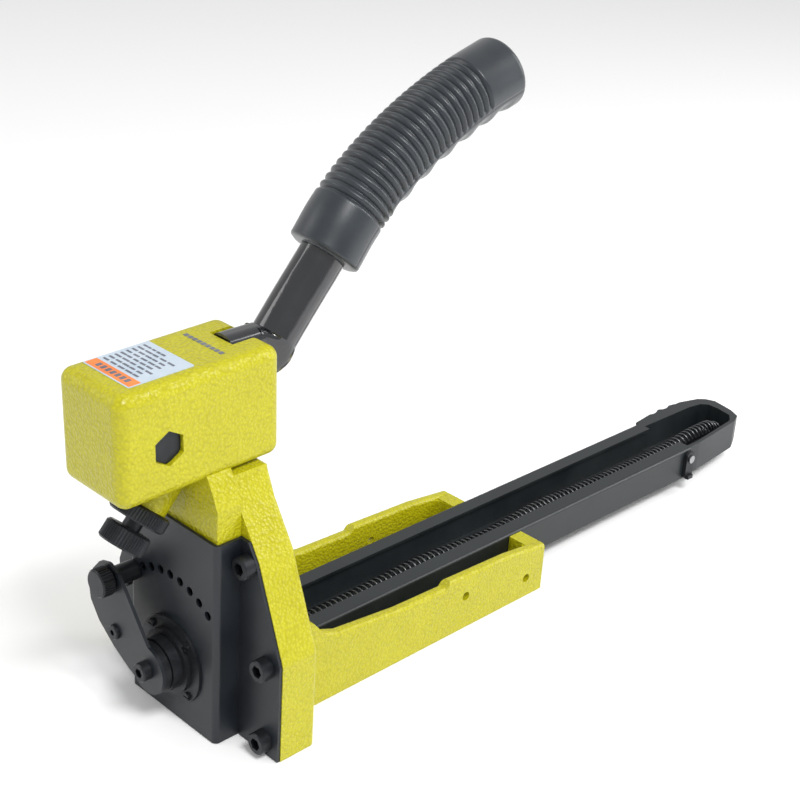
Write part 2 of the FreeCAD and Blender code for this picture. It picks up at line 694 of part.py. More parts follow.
def magazine_spring():
    """Long pusher spring, drawn as a tube with a saw-tooth wall: one tooth per coil."""
    y0, y1, coils = 47.5, 390.0, 86
    pitch = (y1 - y0) / coils
    wall = [(SPRING_R - 1.1, y0), (SPRING_R - 1.1, y1)]
    for k in range(coils, 0, -1):
        wall.append((SPRING_R - 0.8, y0 + pitch * k))
        wall.append((SPRING_R, y0 + pitch * (k - 0.5)))
    wall.append((SPRING_R - 0.8, y0))
    corners = [V(r, y, SPRING_Z) for r, y in wall]
    face = Part.Face(Part.makePolygon(corners + corners[:1]))
    return face.revolve(V(0, 0, SPRING_Z), V(0, 1, 0), 360)


def staple_pusher():
    """Saddle that rides on the rail, with a tongue inside it for the spring."""
    saddle = box(-17.2, 17.2, 3.4, 44.0, 12.0, 24.6)
    saddle = saddle.cut(box(-14.8, 14.8, 0, 50, 5, 23.6))
    core = box(-6.0, 6.0, 6.0, 47.0, 10.9, 24.2)
    peg = cyl_y(0, SPRING_Z, 2.6, 46.5, 60.0)
    finger = box(-5.0, 5.0, 25.0, 40.0, 24.0, 28.4)
    finger = round_edges(finger, 1.5, lambda m, d: m.z > 28 and abs(d.x) > 5)
    return fuse([saddle, core, peg, finger])


def magazine_latch():
    bar = box(MAG_HALF + 0.3, MAG_HALF + 2.3, 330.6, 337.4, 8.4, 25.4)
    bar = round_edges(bar, 2.6, lambda m, d: abs(d.x) > 1)
    lip = box(MAG_HALF + 0.3, MAG_HALF + 3.9, 331.8, 336.2, 8.9, 11.2)
    return fuse([bar, lip]).cut(cyl_x(334.0, 21.0, 1.55, 10, 30))


def latch_pin():
    pin = cyl_x(334.0, 21.0, 1.5, MAG_HALF - 2.6, MAG_HALF + 2.7)
    return fuse([pin, cyl_x(334.0, 21.0, 2.3, MAG_HALF + 2.6, MAG_HALF + 3.4)])


# ---- drive and clinch parts --------------------------------------------
def driver_carriage():
    """Crossbar with pads and spring ears, and a stem that ends in the yoke."""
    z0, z1 = CROSSBAR_Z0, CROSSBAR_Z1
    bar = box(-42.8, 42.8, 3.3, 6.0, z0, z1)
    taper = prism_xz([(37.5, z1 + 1), (43.5, z1 + 1), (43.5, 56.0)], 0, 7)
    land = box(-17.3, 17.3, BLADE_Y1, 6.0, z0, z1)
    pad = box(33.5, 42.8, 0.5, 4.0, z0, z0 + 3.5)
    ear = box(16.2, 25.8, -11.9, 4.0, 58.0, z1)
    ear = cut(ear, [cyl_z(SPRING_X, SPRING_Y, 3.3, 50, 70)])
    stem = box(-6.5, 6.5, BLADE_Y1, 6.0, z1 - 1, 92.0)
    yoke = box(-3.5, 3.5, -10.0, 5.0, 84.0, 165.4)
    yoke = round_edges(yoke, 3.0, lambda m, d: m.z > 165 and abs(d.x) > 5)
    carriage = fuse([bar, land, stem, yoke] + both_sides(pad) + both_sides(ear))
    pin_y, pin_z = drive_pin_centre()
    far_y = PIVOT_Y + DRIVE_RADIUS
    room = DRIVE_PIN_R + 0.3
    slot = fuse([
        cyl_x(pin_y, pin_z, room, -9, 9),
        cyl_x(far_y, pin_z, room, -9, 9),
        box(-9, 9, pin_y, far_y, pin_z - room, pin_z + room),
    ])
    tools = both_sides(taper) + [slot]
    tools += [cyl_y(x, BLADE_SCREW_Z, 2.0, 0, 10) for x in (-11.0, 11.0)]
    return cut(carriage, tools)


def driver_blade():
    blade = box(-BLADE_HALF, BLADE_HALF, BLADE_Y0, BLADE_Y1, BLADE_Z0, BLADE_Z1)
    holes = [cyl_y(x, BLADE_SCREW_Z, 2.0, -5, 10) for x in (-11.0, 11.0)]
    blade = cut(blade, holes)
    return blade.cut(box(-4.0, 4.0, -1, 5, 38.0, 46.0))


def blade_screws():
    screws = []
    for x in (-11.0, 11.0):
        head = cyl_y(x, BLADE_SCREW_Z, 3.4, -1.9, BLADE_Y0)
        shank = cyl_y(x, BLADE_SCREW_Z, 2.0, BLADE_Y0, 5.9)
        screw = fuse([head, shank]).cut(cyl_y(x, BLADE_SCREW_Z, 1.3, -3, -0.6))
        screws.append(screw)
    return screws


def return_springs():
    """Right and left springs between the sole plate and the carriage ears."""
    springs = []
    for x in (SPRING_X, -SPRING_X):
        spring = coil(3.95, 0.5, 54.7, 12, 3.1)
        spring.translate(V(x, SPRING_Y, 0))
        springs.append(spring)
    return springs


def guide_rods():
    return [cyl_z(x, SPRING_Y, 2.9, 3.0, 63.0) for x in (-SPRING_X, SPRING_X)]


def polar(radius, degrees):
    angle = math.radians(degrees)
    return CLINCH_X + radius * math.cos(angle), CLINCH_Z + radius * math.sin(angle)


def clincher():
    """Right-hand hook: hub, spoke, curved point and the tail the pad pushes."""
    y0, y1 = 0.5, 3.0
    outer = [polar(CLINCH_R + 1.5, CLINCH_SPOKE_DEG - 2 - 2.0 * k) for k in range(8)]
    inner = [polar(CLINCH_R - 1.6, CLINCH_SPOKE_DEG - 2 - 2.0 * k) for k in range(8)]
    hook = outer + [polar(CLINCH_R, CLINCH_TIP_DEG)] + list(reversed(inner))
    spoke = [
        polar(4.0, CLINCH_SPOKE_DEG + 90), polar(CLINCH_R - 0.5, CLINCH_SPOKE_DEG + 3),
        polar(CLINCH_R - 0.5, CLINCH_SPOKE_DEG - 8), polar(4.0, CLINCH_SPOKE_DEG - 90),
    ]
    tail = [
        polar(4.5, CLINCH_TAIL_DEG + 90), polar(CLINCH_TAIL_R, CLINCH_TAIL_DEG + 6),
        polar(CLINCH_TAIL_R, CLINCH_TAIL_DEG - 6), polar(4.5, CLINCH_TAIL_DEG - 90),
    ]
    arm = fuse([
        cyl_y(CLINCH_X, CLINCH_Z, 5.5, y0, y1),
        prism_xz(hook, y0, y1), prism_xz(spoke, y0, y1), prism_xz(tail, y0, y1),
    ])
    return arm.cut(cyl_y(CLINCH_X, CLINCH_Z, CLINCH_PIN_R + RUNNING, -5, 5))


def clincher_pins():
    return both_sides(cyl_y(CLINCH_X, CLINCH_Z, CLINCH_PIN_R, 0.2, 15.0))


NOSE_SCREWS = [(-8.0, -7.0), (8.0, -7.0)]


def nose_plate():
    """Upright staple guide with a foot that is screwed to the sole plate."""
    upright = box(-27.5, 27.5, -2.5, 0.0, 3.0, 26.6)
    foot = box(-13.0, 13.0, -11.5, -2.0, 3.0, 7.0)
    return cut(fuse([upright, foot]), [cyl_z(x, y, 1.5, 0, 10) for x, y in NOSE_SCREWS])


def nose_screws():
    screws = []
    for x, y in NOSE_SCREWS:
        head = Part.makeCone(2.9, 1.5, 1.4, V(x, y, 0.1), V(0, 0, 1))
        screw = fuse([head, cyl_z(x, y, 1.5, 1.4, 6.8)])
        screws.append(screw.cut(box(x - 4, x + 4, y - 0.3, y + 0.3, -1, 0.7)))
    return screws


def sole_plate():
    plate = fuse([
        box(-27.5, 27.5, -12.2, 0.0, 0.0, 3.0),
        box(-19.6, 19.6, -0.5, 7.5, 0.0, 3.0),
        box(-27.5, 27.5, 7.0, 19.0, 0.0, 3.0),
    ])
    tools = [box(-17.9, 17.9, 0.2, 2.7, -1, 5)]
    for x, y in NOSE_SCREWS:
        tools.append(Part.makeCone(3.0, 1.5, 1.5, V(x, y, 0.0), V(0, 0, 1)))
        tools.append(cyl_z(x, y, 1.5, -1, 5))
    for x in (-23.0, 23.0):
        tools.append(Part.makeCone(3.8, 2.0, 1.8, V(x, 13.0, 0.0), V(0, 0, 1)))
        tools.append(cyl_z(x, 13.0, 2.0, -1, 5))
    return cut(plate, tools)


def sole_screws():
    screws = []
    for x in (-23.0, 23.0):
        head = Part.makeCone(3.7, 1.9, 1.7, V(x, 13.0, 0.1), V(0, 0, 1))
        screw = fuse([head, cyl_z(x, 13.0, 1.9, 1.5, 8.8)])
        screws.append(screw.cut(prism_xy([(x - 1, 12), (x + 1, 12), (x, 14.2)], -1, 1.2)))
    return screws


# ---- write every node ---------------------------------------------------
def main():
    os.makedirs("parts", exist_ok=True)
    save("frame_casting", frame_casting())
    save("front_cover", front_cover())
    save("cover_screws", cover_screws())
    save("head_housing", head_housing())
    save("housing_screws", housing_screws())
    save("label_plate", label_plate())
    save("pivot_bolt", pivot_bolt())
    save("pivot_nut", pivot_nut())
    save("handle_tube", handle_tube())
    save("handle_grip", handle_grip())
    save("drive_pin", drive_pin())
    save("pivot_bush", pivot_bush())
    save("stop_screw", stop_screw())
    save("stop_pad", stop_pad())
    save("lock_nut", lock_nut())
    save("hub_bearing", hub_bearing())
    save("hub_screws", hub_screws())
    save("hub_shaft", hub_shaft())
    save("depth_cam", depth_cam())
    save("lever_plate", lever_plate())
    save("lever_screw", lever_screw())
    save("lever_set_screw", lever_set_screw())
    save("plunger_sleeve", plunger_sleeve())
    save("plunger_knob", plunger_knob())
    save("plunger_pin", plunger_pin())
    save("plunger_spring", plunger_spring())
    save("magazine_channel", magazine_channel())
    save("core_rail", core_rail())
    save("end_block", end_block())
    save("end_block_screws", end_block_screws())
    save("spring_tongue", spring_tongue())
    save("magazine_spring", magazine_spring())
    save("staple_pusher", staple_pusher())
    save("magazine_latch", magazine_latch())
    save("latch_pin", latch_pin())
    save("driver_carriage", driver_carriage())
    save("driver_blade", driver_blade())
    save("blade_screws", blade_screws())
    right_spring, left_spring = return_springs()
    save("return_spring_right", right_spring)
    save("return_spring_left", left_spring)
    save("guide_rods", guide_rods())
    right_clincher, left_clincher = both_sides(clincher())
    save("clincher_right", right_clincher)
    save("clincher_left", left_clincher)
    save("clincher_pins", clincher_pins())
    save("nose_plate", nose_plate())
    save("nose_screws", nose_screws())
    save("sole_plate", sole_plate())
    save("sole_screws", sole_screws())


main()
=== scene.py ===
import json
import math

import bmesh
import bpy
from mathutils import Matrix, Vector


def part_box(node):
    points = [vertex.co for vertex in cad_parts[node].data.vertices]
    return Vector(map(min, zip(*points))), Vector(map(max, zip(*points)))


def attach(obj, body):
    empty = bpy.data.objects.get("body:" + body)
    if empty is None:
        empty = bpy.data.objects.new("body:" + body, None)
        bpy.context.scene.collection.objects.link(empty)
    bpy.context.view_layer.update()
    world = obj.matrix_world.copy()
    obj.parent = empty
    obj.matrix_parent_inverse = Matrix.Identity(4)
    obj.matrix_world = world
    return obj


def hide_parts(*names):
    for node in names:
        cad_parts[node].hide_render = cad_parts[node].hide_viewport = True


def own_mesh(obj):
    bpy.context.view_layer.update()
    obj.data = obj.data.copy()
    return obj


MM = 0.001
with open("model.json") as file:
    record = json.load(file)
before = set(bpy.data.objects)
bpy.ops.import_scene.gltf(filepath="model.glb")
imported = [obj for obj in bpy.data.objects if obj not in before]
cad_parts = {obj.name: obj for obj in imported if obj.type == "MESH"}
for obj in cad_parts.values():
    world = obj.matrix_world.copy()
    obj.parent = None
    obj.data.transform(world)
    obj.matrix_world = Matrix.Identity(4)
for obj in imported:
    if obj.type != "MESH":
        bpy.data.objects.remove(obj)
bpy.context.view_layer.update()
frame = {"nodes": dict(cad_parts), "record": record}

# ---- named sizes, in metres ---------------------------------------------
GRIP_RADIUS = 16.2 * MM
GROOVE_DEPTH = 1.7 * MM
RIBS = 22
COLLAR_SHARE = 0.17
RIBS_END_SHARE = 0.84
TUBE_POINTS = [
    (44.8, 172.7), (52.6, 182.0), (65.8, 197.6), (74.5, 208.7), (85.8, 219.8),
    (100.5, 230.9), (116.2, 240.4), (131.5, 247.9), (146.3, 253.9), (164.0, 259.6),
]
GRIP_START_Y = 64.5 * MM
GRIP_AROUND = 160
GRIP_RINGS = 520
GRIP_END_RINGS = 15
GRIP_END_DEPTH = 3.7 * MM
GRIP_END_INSET = 6.0 * MM
FINGER_START, FINGER_END = 0.24, 0.97
FINGERS = 6
FINGER_DEPTH = 1.5 * MM
PARTING_DEG = -18
PARTING_HALF_DEG = 1.6
PARTING_DEPTH = 0.28 * MM

# long spring in the magazine
SPRING_TURNS = 104
WEAVE, WEAVES = 1.5 * MM, 3.0
RISE, RISES = 0.9 * MM, 4.5
TAIL_RISE, TAIL_START = 3.0 * MM, 0.84

# housing top: leaned about a line across the joint with the frame neck
CAP_HINGE_Z = 124.7 * MM
CAP_PITCH = 1.4
CAP_TOP_Z = 171.4 * MM
CAP_MARK_Y = 2.6 * MM
LABEL_X = (-16.2 * MM, 13.9 * MM)
LABEL_Y = (-42.8 * MM, -11.6 * MM)
LABEL_THICKNESS = 0.3 * MM

# camera: 70 mm lens on a 36 mm sensor, 44 degrees round and 25 degrees up
CAMERA_PLACE = (451.6 * MM, -350.8 * MM, 422.2 * MM)
CAMERA_AZIMUTH = 44.03
CAMERA_ELEVATION = 25.41
CAMERA_ROLL = 3.65
CAMERA_LENS = 70.28


# ---- material helpers ---------------------------------------------------
def new_material(name):
    material = bpy.data.materials.new(name)
    material.use_nodes = True
    tree = material.node_tree
    return material, tree, tree.nodes["Principled BSDF"]


def coordinates(tree, stretch=(1, 1, 1)):
    """Object coordinates, stretched along an axis for brushed or drawn marks."""
    source = tree.nodes.new("ShaderNodeTexCoord")
    mapping = tree.nodes.new("ShaderNodeMapping")
    mapping.inputs["Scale"].default_value = stretch
    tree.links.new(source.outputs["Object"], mapping.inputs["Vector"])
    return mapping.outputs["Vector"]


def noise(tree, vector, scale, detail=4.0, roughness=0.55):
    node = tree.nodes.new("ShaderNodeTexNoise")
    node.inputs["Scale"].default_value = scale
    node.inputs["Detail"].default_value = detail
    node.inputs["Roughness"].default_value = roughness
    tree.links.new(vector, node.inputs["Vector"])
    return node.outputs["Fac"]


def cells(tree, vector, scale, smoothness=0.6):
    node = tree.nodes.new("ShaderNodeTexVoronoi")
    node.feature = "SMOOTH_F1"
    node.inputs["Scale"].default_value = scale
    node.inputs["Smoothness"].default_value = smoothness
    tree.links.new(vector, node.inputs["Vector"])
    return node.outputs["Distance"]


def spread(tree, value, low, high, low_at=0.3, high_at=0.7):
    """Maps a 0-1 texture value to a range of numbers."""
    node = tree.nodes.new("ShaderNodeMapRange")
    node.inputs["From Min"].default_value = low_at
    node.inputs["From Max"].default_value = high_at
    node.inputs["To Min"].default_value = low
    node.inputs["To Max"].default_value = high
    tree.links.new(value, node.inputs["Value"])
    return node.outputs["Result"]


def ramp(tree, value, stops):
    node = tree.nodes.new("ShaderNodeValToRGB")
    elements = node.color_ramp.elements
    while len(elements) < len(stops):
        elements.new(0.5)
    for element, (place, colour) in zip(elements, stops):
        element.position = place
        element.color = (*colour, 1)
    tree.links.new(value, node.inputs["Fac"])
    return node.outputs["Color"]


def bump(tree, shader, height, strength, distance, below=None):
    node = tree.nodes.new("ShaderNodeBump")
    node.inputs["Strength"].default_value = strength
    node.inputs["Distance"].default_value = distance
    tree.links.new(height, node.inputs["Height"])
    if below is not None:
        tree.links.new(below, node.inputs["Normal"])
    tree.links.new(node.outputs["Normal"], shader.inputs["Normal"])
    return node.outputs["Normal"]


def hammertone():
    """Yellow enamel that dries in small dimples."""
    material, tree, shader = new_material("yellow_hammertone")
    vector = coordinates(tree)
    dimples = cells(tree, vector, 760)
    clouds = noise(tree, vector, 60)
    grain = noise(tree, vector, 2400, 3.0)
    colour = ramp(tree, dimples, [
        (0.05, (0.52, 0.49, 0.012)), (0.35, (0.46, 0.43, 0.006)), (0.8, (0.40, 0.37, 0.004)),
    ])
    tone = ramp(tree, clouds, [(0.3, (0.92, 0.91, 0.88)), (0.7, (1.0, 1.0, 1.0))])
    mix = tree.nodes.new("ShaderNodeMix")
    mix.data_type = "RGBA"
    mix.blend_type = "MULTIPLY"
    mix.inputs["Factor"].default_value = 1.0
    tree.links.new(colour, mix.inputs["A"])
    tree.links.new(tone, mix.inputs["B"])
    tree.links.new(mix.outputs["Result"], shader.inputs["Base Color"])
    tree.links.new(spread(tree, clouds, 0.27, 0.37), shader.inputs["Roughness"])
    shader.inputs["Specular IOR Level"].default_value = 0.36
    shader.inputs["Coat Weight"].default_value = 0.12
    shader.inputs["Coat Roughness"].default_value = 0.22
    fine = bump(tree, shader, grain, 0.12, 0.00015)
    bump(tree, shader, dimples, 0.75, 0.0006, fine)
    return material


def coated_sheet(name, dark, light, rough_low, rough_high):
    """Powder-coated or blued sheet: fine orange peel and faint handling marks."""
    material, tree, shader = new_material(name)
    vector = coordinates(tree)
    clouds = noise(tree, vector, 35)
    peel = noise(tree, vector, 1300, 2.0)
    tree.links.new(
        ramp(tree, clouds, [(0.3, dark), (0.7, light)]), shader.inputs["Base Color"]
    )
    tree.links.new(spread(tree, clouds, rough_low, rough_high), shader.inputs["Roughness"])
    shader.inputs["Specular IOR Level"].default_value = 0.5
    bump(tree, shader, peel, 0.15, 0.0001)
    return material


def metal(name, dark, light, rough_low, rough_high, metallic, stretch=(1, 1, 1)):
    """Bare, blued or ground steel, with marks drawn out along one axis."""
    material, tree, shader = new_material(name)
    vector = coordinates(tree, stretch)
    marks = noise(tree, vector, 900, 5.0, 0.7)
    stains = noise(tree, coordinates(tree), 90)
    tree.links.new(
        ramp(tree, stains, [(0.25, dark), (0.75, light)]), shader.inputs["Base Color"]
    )
    tree.links.new(spread(tree, marks, rough_low, rough_high), shader.inputs["Roughness"])
    shader.inputs["Metallic"].default_value = metallic
    bump(tree, shader, marks, 0.2, 0.00006)
    return material


def gloss_enamel():
    material, tree, shader = new_material("gloss_black_enamel")
    vector = coordinates(tree)
    waves = noise(tree, vector, 45, 2.0)
    tree.links.new(
        ramp(tree, waves, [(0.3, (0.004, 0.005, 0.007)), (0.7, (0.009, 0.010, 0.013))]),
        shader.inputs["Base Color"],
    )
    tree.links.new(spread(tree, waves, 0.09, 0.17), shader.inputs["Roughness"])
    shader.inputs["Coat Weight"].default_value = 0.8
    shader.inputs["Coat Roughness"].default_value = 0.06
    bump(tree, shader, waves, 0.05, 0.0004)
    return material


def grip_rubber():
    material, tree, shader = new_material("grip_rubber")
    vector = coordinates(tree)
    clouds = noise(tree, vector, 50)
    pores = noise(tree, vector, 2600, 3.0, 0.7)
    tree.links.new(
        ramp(tree, clouds, [(0.3, (0.012, 0.016, 0.021)), (0.7, (0.022, 0.028, 0.034))]),
        shader.inputs["Base Color"],
    )
    tree.links.new(spread(tree, pores, 0.28, 0.38), shader.inputs["Roughness"])
    shader.inputs["Sheen Weight"].default_value = 0.15
    bump(tree, shader, pores, 0.25, 0.0001)
    return material


def film(name, low, high, roughness):
    """Printed label film, slightly uneven in tone."""
    material, tree, shader = new_material(name)
    vector = coordinates(tree)
    mottle = noise(tree, vector, 120)
    tree.links.new(ramp(tree, mottle, [(0.3, low), (0.7, high)]), shader.inputs["Base Color"])
    shader.inputs["Roughness"].default_value = roughness
    bump(tree, shader, noise(tree, vector, 700, 2.0), 0.08, 0.0001)
    return material


LOOKS = {
    "yellow_paint": hammertone(),
    "black_sheet": coated_sheet(
        "black_satin_sheet", (0.004, 0.006, 0.009), (0.008, 0.011, 0.016), 0.36, 0.48
    ),
    "black_gloss": gloss_enamel(),
    "black_steel": metal(
        "black_oxide", (0.012, 0.014, 0.017), (0.03, 0.032, 0.036), 0.3, 0.46, 0.6
    ),
    "grey_steel": metal(
        "ground_steel", (0.30, 0.31, 0.32), (0.44, 0.45, 0.46), 0.24, 0.4, 1.0, (1, 14, 1)
    ),
    # spring steel, dark in its own right and darkened further as painted shade for the shaded
    # long spring inside the magazine rail; every spring uses it
    "spring_steel": metal(
        "spring_steel_with_painted_shade", (0.07, 0.075, 0.08), (0.14, 0.145, 0.15), 0.3, 0.45, 0.9
    ),
    "grip_rubber": grip_rubber(),
    "label_film": film("label_film", (0.42, 0.50, 0.58), (0.50, 0.57, 0.64), 0.35),
    "bronze": metal("sintered_bronze", (0.36, 0.21, 0.08), (0.5, 0.31, 0.13), 0.35, 0.5, 1.0),
}
MAGAZINE_SHEET = coated_sheet(
    "magazine_sheet", (0.008, 0.011, 0.013), (0.015, 0.019, 0.021), 0.36, 0.48
)
LABEL_ORANGE = film("label_orange", (0.75, 0.17, 0.03), (0.86, 0.24, 0.05), 0.35)
LABEL_INK = film("label_ink", (0.10, 0.11, 0.14), (0.16, 0.17, 0.20), 0.5)


def dress_cad_nodes():
    """Gives every CAD node the look of its material slot."""
    for part in frame["record"]["subparts"]:
        node = frame["nodes"][part["node"]]
        look = LOOKS[part["material_slot"]]
        if part["node"] in ("magazine_channel", "core_rail", "end_block"):
            look = MAGAZINE_SHEET
        for place in node.material_slots:
            place.material = look
        if not node.material_slots:
            node.data.materials.append(look)


# ---- mesh helpers -------------------------------------------------------
def mesh_object(name, vertices, faces, material, body):
    mesh = bpy.data.meshes.new(name)
    mesh.from_pydata(vertices, [], faces)
    mesh.polygons.foreach_set("use_smooth", [True] * len(faces))
    mesh.materials.append(material)
    mesh.validate()
    thing = bpy.data.objects.new(name, mesh)
    bpy.context.scene.collection.objects.link(thing)
    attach(thing, body)
    return thing


def ring_faces(rings, around):
    """Quads between rings of vertices, with one face across each end."""
    faces = []
    for i in range(rings - 1):
        for k in range(around):
            nxt = (k + 1) % around
            faces.append((
                i * around + k, i * around + nxt,
                (i + 1) * around + nxt, (i + 1) * around + k,
            ))
    faces.append(tuple(reversed(range(around))))
    last = (rings - 1) * around
    faces.append(tuple(last + k for k in range(around)))
    return faces


def smooth_path(points, steps):
    """Catmull-Rom curve through the points, with steps samples on each stretch."""
    points = [Vector(p) for p in points]
    padded = [2 * points[0] - points[1]] + points + [2 * points[-1] - points[-2]]
    path = []
    for a, b, c, d in zip(padded, padded[1:], padded[2:], padded[3:]):
        for i in range(steps):
            t = i / steps
            path.append(0.5 * (
                2 * b + (c - a) * t + (2 * a - 5 * b + 4 * c - d) * t * t
                + (3 * b - a - 3 * c + d) * t ** 3
            ))
    return path + [points[-1]]


def arc_lengths(path):
    lengths = [0.0]
    for a, b in zip(path, path[1:]):
        lengths.append(lengths[-1] + (b - a).length)
    return lengths


def place_at(path, lengths, distance):
    """Point and direction at a distance along the path."""
    index = 1
    while index < len(lengths) - 1 and lengths[index] < distance:
        index += 1
    a, b = path[index - 1], path[index]
    span = lengths[index] - lengths[index - 1]
    share = (distance - lengths[index - 1]) / span
    return a.lerp(b, share), (b - a).normalized()


# ---- rubber grip --------------------------------------------------------
def ease(value):
    value = min(max(value, 0.0), 1.0)
    return value * value * (3 - 2 * value)


def rib_depth(share, height):
    """How far the ribs lower the surface; they end at a smooth panel low on the sides."""
    along = (share - COLLAR_SHARE) / (RIBS_END_SHARE - COLLAR_SHARE) * RIBS
    groove = 1 - math.sqrt(ease(abs((along % 1.0) - 0.5) / 0.5))
    panel_edge = -0.95 if share < COLLAR_SHARE + 0.085 else -0.12
    panel_edge -= 0.25 * math.sin(math.pi * share)
    upper = ease((height - panel_edge) / 0.10)
    return GROOVE_DEPTH * groove * upper - 0.15 * MM * (1 - upper)


def finger_depth(share, height):
    """Shallow hollows for the fingers along the underside."""
    under = ease((-height - 0.35) / 0.4)
    along = (share - FINGER_START) / (FINGER_END - FINGER_START)
    return FINGER_DEPTH * under * (0.5 - 0.5 * math.cos(2 * math.pi * FINGERS * along))


def grip_radius(share, angle):
    """Radius of the grip: 90 degrees is its upper side, 270 its underside."""
    radius = GRIP_RADIUS
    height = math.sin(angle)
    if COLLAR_SHARE < share < RIBS_END_SHARE:
        radius -= rib_depth(share, height)
    if height < -0.35 and FINGER_START < share < FINGER_END:
        radius -= finger_depth(share, height)
    from_parting = abs(((math.degrees(angle) + 180) % 360) - 180 - PARTING_DEG)
    if from_parting < PARTING_HALF_DEG:
        radius -= PARTING_DEPTH * (1 - from_parting / PARTING_HALF_DEG)
    return radius


def grip_ring(centre, direction, radius_of):
    up = Vector((0, -direction.z, direction.y))
    ring = []
    for k in range(GRIP_AROUND):
        angle = 2 * math.pi * k / GRIP_AROUND
        outward = Vector((math.cos(angle), 0, 0)) + up * math.sin(angle)
        ring.append(centre + outward * radius_of(angle))
    return ring


def grip_mouth(path, lengths, start):
    """Lower end of the grip: a flat face on the tube and a small step to full size."""
    vertices = []
    for ahead, radius in ((-0.2 * MM, 11.0 * MM), (-0.2 * MM, 14.4 * MM)):
        centre, direction = place_at(path, lengths, start + ahead)
        vertices += grip_ring(centre, direction, lambda angle: radius)
    centre, direction = place_at(path, lengths, start + 0.5 * MM)
    vertices += grip_ring(centre, direction, lambda angle: grip_radius(0.0, angle) - 0.35 * MM)
    return vertices


def grip_body(path, lengths, start, end):
    vertices = []
    first = start + 1.2 * MM
    for i in range(GRIP_RINGS):
        distance = first + (end - first) * i / GRIP_RINGS
        share = (distance - start) / (end - start)
        centre, direction = place_at(path, lengths, distance)
        vertices += grip_ring(centre, direction, lambda angle: grip_radius(share, angle))
    return vertices


def grip_end(path, lengths, end):
    """Rounded far end."""
    vertices = []
    point, direction = place_at(path, lengths, end - 0.01 * MM)
    for i in range(1, GRIP_END_RINGS):
        turn = math.pi / 2 * i / GRIP_END_RINGS
        centre = point + direction * (GRIP_END_DEPTH * math.sin(turn))
        inset = GRIP_END_INSET * (1 - math.cos(turn))
        vertices += grip_ring(centre, direction, lambda angle: grip_radius(0.999, angle) - inset)
    return vertices


def build_grip():
    path = smooth_path([(0, y * MM, z * MM) for y, z in TUBE_POINTS], 24)
    lengths = arc_lengths(path)
    start = next(d for p, d in zip(path, lengths) if p.y >= GRIP_START_Y)
    end = lengths[-1]
    vertices = grip_mouth(path, lengths, start)
    vertices += grip_body(path, lengths, start, end)
    vertices += grip_end(path, lengths, end)
    faces = ring_faces(len(vertices) // GRIP_AROUND, GRIP_AROUND)
    grip = mesh_object(
        "rubber_grip", vertices, faces, LOOKS["grip_rubber"], "handle"
    )
    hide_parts("handle_grip")


def coil(name, start, axis, length, radius, wire, turns, body, sway=None):
    """Round-wire spring from start along axis; sway bends its centre line."""
    axis = Vector(axis).normalized()
    side = Vector((1, 0, 0))
    other = axis.cross(side)
    around, per_turn = 8, 18
    total = int(turns * per_turn)
    rings = []
    for i in range(total + 1):
        share = i / total
        angle = 2 * math.pi * share * turns
        outward = side * math.cos(angle) + other * math.sin(angle)
        centre = Vector(start) + axis * (length * share) + outward * radius
        if sway is not None:
            centre += sway(share)
        for k in range(around):
            turn = 2 * math.pi * k / around
            rings.append(
                centre + outward * (wire * math.cos(turn)) + axis * (wire * math.sin(turn))
            )
    faces = ring_faces(total + 1, around)
    return mesh_object(name, rings, faces, LOOKS["spring_steel"], body)


def build_magazine_spring():
    """Long spring lying slack in the rail: it weaves and rises at its tail."""
    low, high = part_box("magazine_spring")
    centre_x = 0.5 * (low[0] + high[0])
    centre_z = 0.5 * (low[2] + high[2])
    wire = 0.55 * MM
    radius = 0.5 * (high[2] - low[2]) - wire
    length = high[1] - low[1] - 2 * wire

    def sway(share):
        slack = math.sin(math.pi * min(share * 1.08, 1.0))
        weave = WEAVE * math.sin(2 * math.pi * WEAVES * share + 0.4) * slack
        lift = RISE * (0.5 + 0.5 * math.sin(2 * math.pi * RISES * share)) * slack
        lift += TAIL_RISE * ease((share - TAIL_START) / 0.1) * ease((1.0 - share) / 0.03)
        return Vector((weave, 0, lift))

    spring = coil(
        "pusher_spring_coils", (centre_x, low[1] + wire, centre_z), (0, 1, 0), length,
        radius, wire, SPRING_TURNS, "frame", sway,
    )
    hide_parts("magazine_spring")
    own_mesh(spring)


def build_return_springs():
    for side in ("right", "left"):
        node = f"return_spring_{side}"
        low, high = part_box(node)
        wire = 0.5 * MM
        centre = (0.5 * (low[0] + high[0]), 0.5 * (low[1] + high[1]))
        length = high[2] - low[2] - 2 * wire
        spring = coil(
            f"{node}_coils", (*centre, low[2] + wire), (0, 0, 1), length,
            0.5 * (high[0] - low[0]) - wire, wire, 12, "frame",
        )
        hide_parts(node)
        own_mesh(spring)


def build_plunger_spring():
    """Small spring in the sleeve, pressed towards the knob as the plunger is pulled."""
    low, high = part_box("plunger_spring")
    wire = 0.35 * MM
    centre_x = 0.5 * (low[0] + high[0])
    centre_z = 0.5 * (low[2] + high[2])
    spring = coil(
        "plunger_spring_coils", (centre_x, low[1] + wire, centre_z), (0, 1, 0),
        high[1] - low[1] - 2 * wire, 0.5 * (high[0] - low[0]) - wire, wire, 5, "depth_lever",
    )
    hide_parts("plunger_spring")
    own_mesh(spring)


# ---- label --------------------------------------------------------------
def lean(point):
    """Leans a point with the housing top, about the joint with the frame neck."""
    angle = math.radians(CAP_PITCH)
    y, z = point[1], point[2] - CAP_HINGE_Z
    return (
        point[0],
        y * math.cos(angle) - z * math.sin(angle),
        CAP_HINGE_Z + y * math.sin(angle) + z * math.cos(angle),
    )


